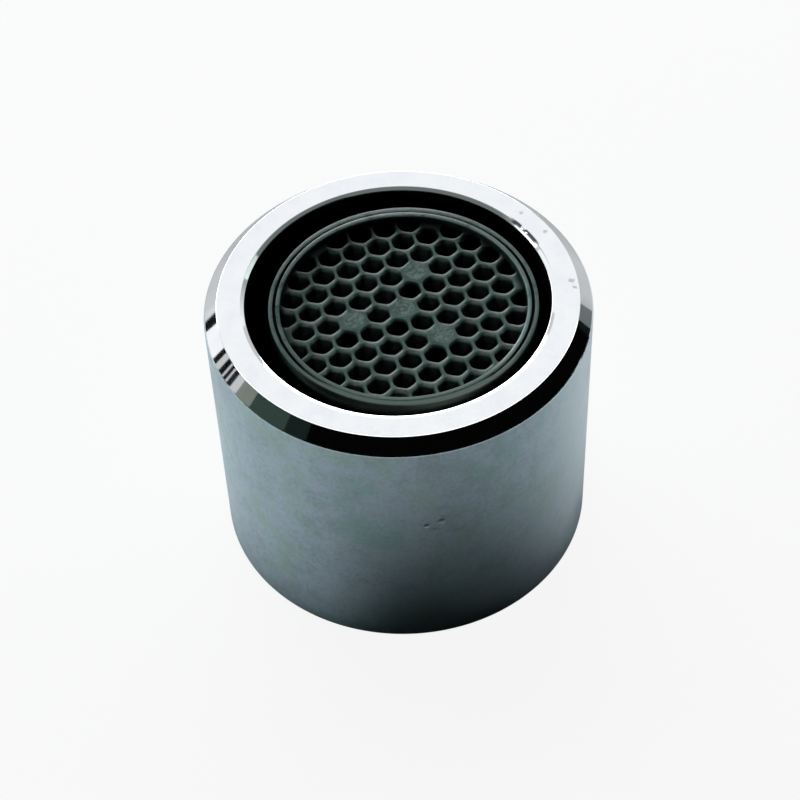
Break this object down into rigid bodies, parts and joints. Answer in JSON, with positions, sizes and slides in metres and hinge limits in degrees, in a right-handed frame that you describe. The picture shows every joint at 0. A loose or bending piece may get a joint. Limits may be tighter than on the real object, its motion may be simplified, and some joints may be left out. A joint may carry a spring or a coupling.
{
  "type": "tap aerator",
  "caption": "Short chrome-plated cylinder with a bevelled outlet face, an internal thread and a loose honeycomb insert; screws onto a tap spout and mixes air into the water.",
  "frame": {"origin": "centre of the threaded mouth, on the face that the aerator stands on", "axes": "+Z along the housing's axis from the threaded mouth to the outlet face; +X the way the loose insert has slid"},
  "size_m": [0.024, 0.024, 0.019],
  "materials": {
    "chrome_plate": "bright plating on turned brass, smudged and lightly pitted",
    "black_rubber": "matt moulded rubber",
    "pale_plastic": "moulded, slightly translucent look",
    "dark_plastic": "satin moulded plastic, dark grey with a green cast"
  },
  "bodies": {
    "root": {"housing": "chrome_plate", "gasket": "black_rubber", "strainer": "pale_plastic", "jet_plate": "dark_plastic", "mixing_grid_inlet": "dark_plastic", "mixing_grid_outlet": "dark_plastic", "insert_barrel": "dark_plastic"}
  },
  "joints": []
}
